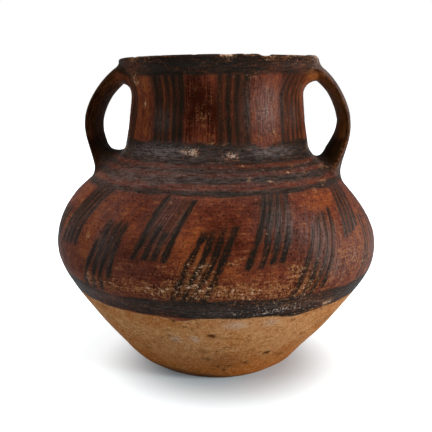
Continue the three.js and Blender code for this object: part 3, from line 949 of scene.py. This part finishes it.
# The finish along a strap. Distances from its ends are in lengths of the roots there, and the ways round the
# section run from -1 (neck side) to 1 (outside).
strapFinish = {
    "own": 2.4,  # how soon the jar's own finish gives way to the strap's
    # where the painted shade and painted shadow lie at the strap's foot: along it, and round its section
    "paintedShadeSpan": (0.05, 0.35, 0.9, 1.5),
    "paintedShadeRound": (-0.1, 0.5),
    "glowAt": (0.7, 1.6),
    "glowRound": (-0.2, 0.5),
    "innerRound": (0, 0.6),
    "paint": (-3, 5.5),  # distance to its edge on the neck side, and how much more on the outside
    "sheenAndFilmRound": (-0.1, 0.4),
    "sheenAndFilmAcross": (5, 14),  # mm towards the side seen first, where the painted sheen and film start and are full
    "sheenAndFilmBehind": 0.05,
    "faintRound": (-0.8, -0.3),
    "edgeNarrow": 12,
    "edgeFlecks": 0.2,
    "glowUmber": 0.5,
}
handles = {
    # fillet: how far the clay is worked out onto the wall: towards the neck, on the edges, on the outer side
    # heel: clay added on the side towards the neck, by distance from that end of the strap's line
    # topGlow: how much more orange the slip is where the strap's underside meets the jar; the foot's shade: how
    # much darker it is painted there, as painted shade; the foot's paint: the dark paint there, a painted shadow;
    # umber: how far the slip is turned from red to umber
    # paintFrom: where round the section the dark paint starts and covers, from -1 (neck side) to 1 (outside)
    "right": {
        "turn": 90, "endRun": 9.4, "endFall": 1, "topRise": 1.6, "seed": 3,
        "upperFillet": (10, 4, 9), "lowerFillet": (6, 5, 5),
        "upperHeel": [(0, 1.6), (10, 1.4), (24, 0)],
        "lowerHeel": [(0, 3), (8, 3.8), (18, 4.3), (23, 3), (29, 1.6), (38, 0)],
        "paintFrom": (0.1, 0.5), "warmth": -0.7, "innerWarmth": 1, "faint": 0.3, "rub": 0.3, "sheenAndFilm": 1.2,
        "topGlow": 0.5, "umber": 0.6, "paintedFootShade": 2.4, "paintedFootShadow": 5.5,
    },
    "left": {
        "turn": -100, "endRun": 6.5, "endFall": 3.5, "topRise": 0, "seed": 8,
        "upperFillet": (12, 4, 4), "lowerFillet": (14, 5, 5),
        "upperHeel": [(0, 2.4), (10, 2.2), (26, 0.7), (36, 0.8), (48, 0.7), (56, 0)],
        "lowerHeel": [(0, 5), (8, 4), (15, 1.5), (20, -0.6), (28, -1.1), (36, -0.6), (44, 0)],
        "paintFrom": (-0.2, 0.3), "warmth": -1.1, "innerWarmth": 0, "faint": 0.1, "rub": 0.12, "sheenAndFilm": 1.2,
        "topGlow": 0.4, "umber": 0.45, "paintedFootShade": 1.4, "paintedFootShadow": 3.5,
    },
}


def bezier(points, t):
    a, b, c, d = [np.array(p, float) for p in points]
    t = t[:, None]
    return (1 - t) ** 3 * a + 3 * (1 - t) ** 2 * t * b + 3 * (1 - t) * t ** 2 * c + t ** 3 * d


def depthRadius(level, depth):
    radius, lean = outline(np.array(float(level)))
    return float(radius - depth * np.hypot(1, lean))


class HandleLine:
    # the middle line of a strap as radius and height, by distance from its upper end
    def __init__(self, facts):
        shape, middle = handleShape, jarShape["wall"] / 2
        neckFoot, waist = levels[jarShape["neckFoot"]], radii[jarShape["waist"]]
        high, low = lipLevel + jarShape["lipRound"] - shape["topDrop"], neckFoot - shape["footDrop"]
        top, foot = [depthRadius(high, middle), high], [depthRadius(low, middle), low]
        reach = [waist + shape["fingerGap"] + shape["thickness"] / 2, neckFoot + shape["reachRise"]]
        t = np.linspace(0, 1, 300)
        upper = bezier([top, [top[0] + facts["endRun"], top[1] - facts["endFall"]],
                        [reach[0], reach[1] + shape["upperBendPull"]], reach], t)
        lower = bezier([reach, [reach[0], reach[1] - shape["lowerBendPull"]],
                        [foot[0], foot[1] + shape["lowerEndPull"]], foot], t)
        self.line = np.vstack([upper, lower[1:]])
        self.along = np.concatenate([[0], np.cumsum(np.linalg.norm(np.diff(self.line, axis=0), axis=1))])
        self.length = self.along[-1]

    def at(self, distance):
        # point and direction, carried straight on past both ends
        inside = np.clip(distance, 0, self.length)
        step = 0.4
        before, after = [self.pick(np.clip(inside + side * step, 0, self.length)) for side in (-1, 1)]
        run = (after - before) / np.linalg.norm(after - before)
        return self.pick(inside) + run * (distance - inside), run

    def pick(self, distance):
        return np.array([np.interp(distance, self.along, self.line[:, i]) for i in (0, 1)])


def bulged(value):
    return np.sign(value) * np.abs(value) ** handleShape["edgeFullness"]


def sectionAt(line, distance, width, thickness, inset, rise, waver):
    # one ring of the strap, and the middle of it, as (radius, across, height)
    middle, run = line.at(distance)
    angle = np.linspace(0, fullTurn, handleShape["aroundSteps"], endpoint=False)
    out = thickness / 2 * bulged(np.sin(angle)) - inset
    out = out + rise * np.maximum(np.sin(angle), 0) + waver(distance, angle)
    ring = np.stack([middle[0] - run[1] * out, width / 2 * bulged(np.cos(angle)), middle[1] + run[0] * out], -1)
    return ring, np.array([middle[0] + run[1] * inset, 0, middle[1] - run[0] * inset])


outsideFrom, insideFrom = handleShape["wallFrom"]
upperRows = rowsOf("outside", outsideFrom) + rowsOf("crown") + rowsOf("inside", insideFrom)
wallTree = BVHTree.FromPolygons(jarRows[upperRows].reshape(-1, 3).tolist(), gridFaces(len(upperRows), columns))


def wallGap(point):
    # signed distance to the jar's surface and the surface's normal there
    place, normal, _, gap = wallTree.find_nearest(Vector(point))
    return math.copysign(gap, (Vector(point) - place).dot(normal)), np.array(normal)


def handleGrid(side):
    shape, facts = handleShape, handles[side]
    line = HandleLine(facts)
    turn = math.radians(facts["turn"])
    axes = np.array([[math.sin(turn), -math.cos(turn), 0], [math.cos(turn), math.sin(turn), 0], [0, 0, 1]])
    draw = np.random.default_rng(facts["seed"])
    beats = [
        (draw.uniform(0.05, 0.22), draw.integers(1, 4), draw.uniform(0, fullTurn)) for _ in range(shape["beats"])
    ]

    def waver(distance, angle):
        # small unevenness, and the clay added on the neck side near both ends
        added = np.interp(distance, *zip(*facts["upperHeel"]))
        added = added + np.interp(line.length - distance, *zip(*facts["lowerHeel"]))
        beat = sum(np.cos(rate * distance + lobes * angle + start) for rate, lobes, start in beats)
        return shape["beatSize"] * beat - added * np.maximum(-np.sin(angle), 0)

    def rootRows(root, fillet, strapEnd, wallEnd, rise):
        # lines from the strap's end to the wall, each with its last stretch rounded out onto the wall
        way = math.copysign(1, wallEnd - strapEnd)
        samples, straight, rounded = shape["rootSamples"], shape["rootRows"], shape["filletRows"]
        rings, centres = [], []
        for i in range(samples + 1):
            share = i / samples * (1 + shape["beyond"] / root["length"])
            spread = min(share, shape["spreadMost"]) ** 2
            width, thickness = [shape[key] + (root[key] - shape[key]) * spread for key in ("width", "thickness")]
            inset = (thickness - shape["thickness"]) / 2
            distance = strapEnd + way * root["length"] * share
            ring, centre = sectionAt(line, distance, width, thickness, inset, rise * spread, waver)
            rings.append(ring @ axes)
            centres.append(centre @ axes)
        rings = np.array(rings)
        around = rings.shape[1]
        made, endNormals = np.empty((straight + rounded, around, 3)), np.empty((around, 3))
        for column in range(around):
            path = rings[:, column]
            gaps = [wallGap(point)[0] for point in path]
            size = float(np.interp(math.sin(fullTurn * column / around), (-1, 0, 1), fillet))
            first = next((i for i, gap in enumerate(gaps) if gap < 0), samples)
            free = max((i for i in range(first) if gaps[i] > size), default=0)

            def crossing(low, height):
                share = (gaps[low] - height) / max(gaps[low] - gaps[low + 1], 1e-6)
                return low + min(max(share, 0), 1)

            def along(position):
                low = min(int(position), samples - 1)
                return path[low] + (path[low + 1] - path[low]) * (position - low)

            topAt = crossing(free, size) if gaps[0] > size else 0.0
            foot, top = along(crossing(max(first - 1, 0), 0)), along(topAt)
            height = max(wallGap(top)[0], shape["leastRise"])
            normal = wallGap(foot)[1]
            outwards = foot - centres[min(first, samples)]
            outwards -= normal * outwards.dot(normal)
            outwards /= max(np.linalg.norm(outwards), 1e-6)
            for i in range(straight):
                made[i, column] = along(topAt * i / (straight - 1))
            for i in range(1, rounded + 1):
                angle = math.pi / 2 * (1 - i / rounded)
                up, reach = height * (1 - math.cos(angle)), size * (1 - math.sin(angle))
                point = foot + (top - foot) * (up / height) + outwards * reach
                gap, there = wallGap(point)
                sink = shape["sink"] if i == rounded else 0.0
                made[straight + i - 1, column] = point + there * (up - gap - sink)
            endNormals[column] = wallGap(made[-1, column])[1]
        return made, endNormals

    upper, lower = shape["upperRoot"], shape["lowerRoot"]
    strapFoot = line.length - lower["length"]
    top, topNormals = rootRows(upper, facts["upperFillet"], upper["length"], 0, facts["topRise"])
    bottom, bottomNormals = rootRows(lower, facts["lowerFillet"], strapFoot, line.length, 0)
    straps = [
        sectionAt(line, distance, shape["width"], shape["thickness"], 0, 0, waver)[0] @ axes
        for distance in np.linspace(upper["length"], strapFoot, shape["strapRows"] + 1)[1:-1]
    ]
    points = np.concatenate([top[::-1], np.array(straps), bottom])
    normals = gridNormals(points)
    for i, share in enumerate((1, 2 / 3, 1 / 3)):
        for row, wanted in ((i, topNormals), (-1 - i, bottomNormals)):
            normals[row] = normals[row] * (1 - share) + wanted * share
    normals /= np.linalg.norm(normals, axis=-1, keepdims=True)
    return points, normals, len(top), len(bottom)


def handleFinish(side, points, topRows, bottomRows):
    # the jar's own finish at both ends, running into dark slip along the strap
    facts, most = handles[side], paintwork["farthest"]
    rows, around = points.shape[:2]
    angle = np.linspace(0, fullTurn, around, endpoint=False) * np.ones((rows, 1))
    facing, edges = np.sin(angle), np.abs(np.cos(angle)) ** strapFinish["edgeNarrow"]
    turn = np.arctan2(points[..., 0], -points[..., 1])
    level = np.clip(points[..., 2], 0, lipLevel + 2)
    index = np.arange(rows)[:, None] * np.ones(around)
    fromTop, fromBottom = index / topRows, (rows - 1 - index) / bottomRows
    ends = smooth(np.minimum(fromTop, fromBottom) * strapFinish["own"], 0, 1)
    # painted shade on the neck side where the strap's underside meets the jar
    paintedShading = window(fromBottom, *strapFinish["paintedShadeSpan"]) * smooth(-facing, *strapFinish["paintedShadeRound"])
    topShare = smooth(-facing, *strapFinish["glowRound"]) * (1 - smooth(fromTop, *strapFinish["glowAt"]))
    inner = smooth(-facing, *strapFinish["innerRound"])
    warmth = facts["warmth"] * (1 - inner) + facts["innerWarmth"] * inner
    # painted sheen and grey film on the strap, fullest on the edge seen first
    behind = strapFinish["sheenAndFilmBehind"]
    seenEdge = behind + (1 - behind) * smooth(-points[..., 1], *strapFinish["sheenAndFilmAcross"])
    unpainted, painted = strapFinish["paint"]
    onJar = {name: patchSum(patches, turn, level) for name, patches in finishPatches.items()}
    onJar.update(paint=paintDistance(turn, level), wash=washStrength(turn, level), stain=0)
    onStrap = {
        "paint": unpainted + painted * smooth(facing, *facts["paintFrom"]),
        "wash": 0,
        "highlightAndWear": facts["rub"] * edges,
        "warmth": warmth + facts["topGlow"] * topShare,
        "sheenAndFilm": facts["sheenAndFilm"] * smooth(facing, *strapFinish["sheenAndFilmRound"]) * seenEdge,
        "flecks": strapFinish["edgeFlecks"] * edges,
        "stain": 0,
        "faint": facts["faint"] * smooth(-facing, *strapFinish["faintRound"]),
    }
    fields = {name: onJar[name] * (1 - ends) + value * ends for name, value in onStrap.items()}
    # dark paint laid there as a painted shadow, and the slip darkened there as painted shade
    fields["paint"] = np.clip(fields["paint"] + facts["paintedFootShadow"] * paintedShading, -most, most)
    fields["warmth"] = fields["warmth"] - facts["paintedFootShade"] * paintedShading
    steps = np.linalg.norm(np.diff(points.mean(1), axis=0), axis=1)
    fields["strapAlong"] = np.concatenate([[0], np.cumsum(steps)])[:, None] * np.ones(around)
    fields["strapOut"] = handleShape["outSize"] * facing
    fields["umber"] = facts["umber"] * ends * (1 - strapFinish["glowUmber"] * topShare)
    fields.update(strap=ends, slip=np.full(turn.shape, float(most)), inner=np.zeros(turn.shape))
    return fields


for side in handles:
    points, normals, topRows, bottomRows = handleGrid(side)
    fields = handleFinish(side, points, topRows, bottomRows)
    count, sink = len(points), handleShape["endSink"]
    parts = [
        ("upper_root", 0, topRows, (sink, sink, 1), 1),
        ("strap", topRows - 1, count - bottomRows + 1, 1, 1),
        ("lower_root", count - bottomRows, count, 1, sink),
    ]
    for part, start, stop, firstSink, lastSink in parts:
        block = points[start:stop]
        cappedPiece(
            f"{side}_{part}_clay", block, normals[start:stop],
            {key: values[start:stop] for key, values in fields.items()},
            [block[0].mean(0) * firstSink, block[-1].mean(0) * lastSink], [[0, 0, 1], [0, 0, -1]],
            darkSlip, f"{side}_handle_{part}", "dark_slip",
        )
print("handles done")

# Table, lamps and camera

studio = {
    "floorSize": 6,
    "floorColour": (0.735, 0.855, 0.93),
    # the glow is dim round this point, just in front of the jar, which paints the shadow's reach and its darker
    # front
    "paintedShadowMiddle": (0.005, -0.012, 0),
    "floorGlow": [(0.037, 0.045), (0.0916, 0.765), (0.5, 1.1)],  # distance from that point, and glow there; the dim glow near the jar is a painted shadow
    "ambient": 0.3,
    "lamps": {
        # place in metres, width, height, power, colour
        "rightPanel": ((0.95, -0.62, 0.34), 0.22, 0.34, 10.8, (1, 0.985, 0.96)),
        "leftPanel": ((-0.9, -0.55, 0.4), 0.3, 0.4, 1.6, (0.97, 0.985, 1)),
        "topPanel": ((0.0, 0.0, 1.1), 0.5, 0.5, 9.0, (1, 1, 1)),
    },
    "aim": (0, 0, 0.11),
}


def seenRays():
    # 1 for rays that show a surface as it looks, 0 for those that only carry light
    path = node("LightPath", output=None)
    rays = ("Is Camera Ray", "Is Glossy Ray", "Is Transmission Ray")
    return chain("MAXIMUM", *(path.outputs[ray] for ray in rays))


def makeFloor():
    half = studio["floorSize"] / 2
    mesh = bpy.data.meshes.new("table")
    mesh.from_pydata([(-half, -half, 0), (half, -half, 0), (half, half, 0), (-half, half, 0)], [], [(0, 1, 2, 3)])
    addObject("table", mesh)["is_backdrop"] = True
    material = bpy.data.materials.new("whiteTable")
    startNodes(material)
    matt = node("BsdfDiffuse", {"Color": studio["floorColour"]})
    # the table's shadow shows near the jar, shaped and deepened by a painted shadow where the glow is dim; far
    # from it the table is plain white to the horizon
    where = node("TexCoord", output="Object")
    away = node("VectorMath", {0: where, 1: studio["paintedShadowMiddle"]}, "Value", operation="DISTANCE")
    (inner, dim), (edge, pale), (outer, white) = studio["floorGlow"]
    glowing = plus(fade(away, inner, edge, dim, pale), fade(away, edge, outer, 0, white - pale))
    glow = node("Emission", {"Color": (1, 1, 1), "Strength": times(seenRays(), glowing)})
    node("OutputMaterial", {0: node("AddShader", {0: matt, 1: glow})}, None)
    mesh.materials.append(material)


def makeWorld():
    scene.world = bpy.data.worlds.new("studio")
    startNodes(scene.world)
    strength = fade(seenRays(), 0, 1, studio["ambient"], 1)
    node("OutputWorld", {0: node("Background", {"Color": (1, 1, 1), "Strength": strength})}, None)


def makeLamps():
    for name, (place, width, height, power, colour) in studio["lamps"].items():
        data = bpy.data.lights.new(name, "AREA")
        data.shape = "RECTANGLE"
        data.size, data.size_y = width, height
        data.energy, data.color = power, colour
        lamp = addObject(name, data)
        lamp.location = place
        lamp.rotation_euler = (Vector(studio["aim"]) - Vector(place)).to_track_quat("-Z", "Y").to_euler()


cameraFacts = {
    "place": (-0.00017, -0.446745, 0.186307),
    "pitch": 11.37,
    "lens": 56.3,
    "sensor": 36,
    "nearest": 0.01,
}


def makeCamera():
    data = bpy.data.cameras.new("camera")
    data.lens = cameraFacts["lens"]
    data.sensor_width = cameraFacts["sensor"]
    data.clip_start = cameraFacts["nearest"]
    camera = addObject("camera", data)
    camera.location = cameraFacts["place"]
    camera.rotation_euler = (math.radians(90 - cameraFacts["pitch"]), 0, 0)
    scene.camera = camera


makeFloor()
makeWorld()
makeLamps()
makeCamera()
print("table, lamps and camera done")

low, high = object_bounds()
